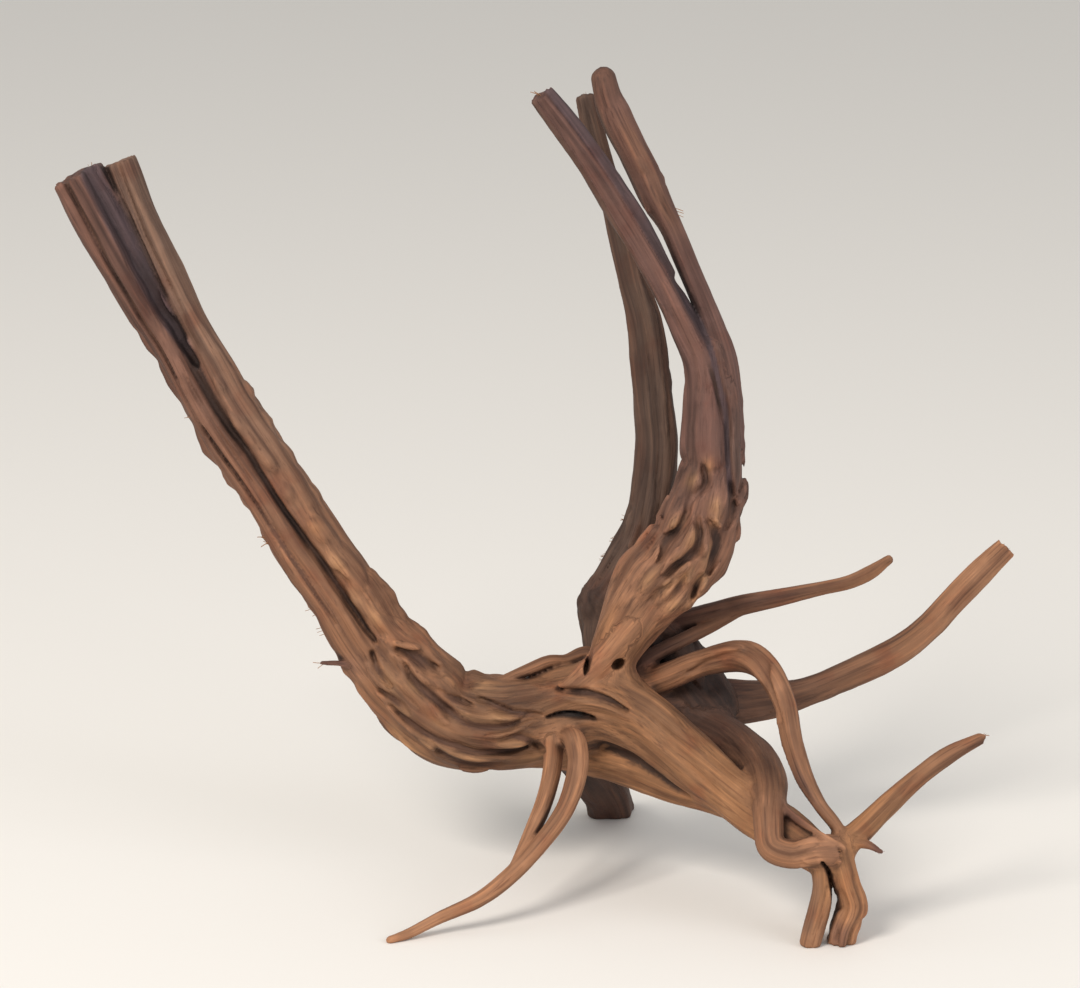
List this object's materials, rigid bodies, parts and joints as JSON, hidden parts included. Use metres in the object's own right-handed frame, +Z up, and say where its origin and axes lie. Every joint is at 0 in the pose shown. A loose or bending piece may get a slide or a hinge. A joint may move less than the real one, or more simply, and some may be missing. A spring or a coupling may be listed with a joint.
{
  "type": "spiderwood root",
  "caption": "Dried branching root crown grown as one piece, with a long grooved limb, tall split uprights and thin curling roots it stands on.",
  "frame": {"origin": "on the ground under the middle of the bounding box", "axes": "+Z up, +X towards the side of the curling roots, -Y towards the front, where the thin front root and the foot reach the ground"},
  "size_m": [0.3324, 0.15, 0.2824],
  "materials": {
    "wood": "bare, washed and dried root wood with grain, cracks and bud scars"
  },
  "bodies": {
    "root": {"spiderwood_root": "wood"}
  },
  "joints": []
}
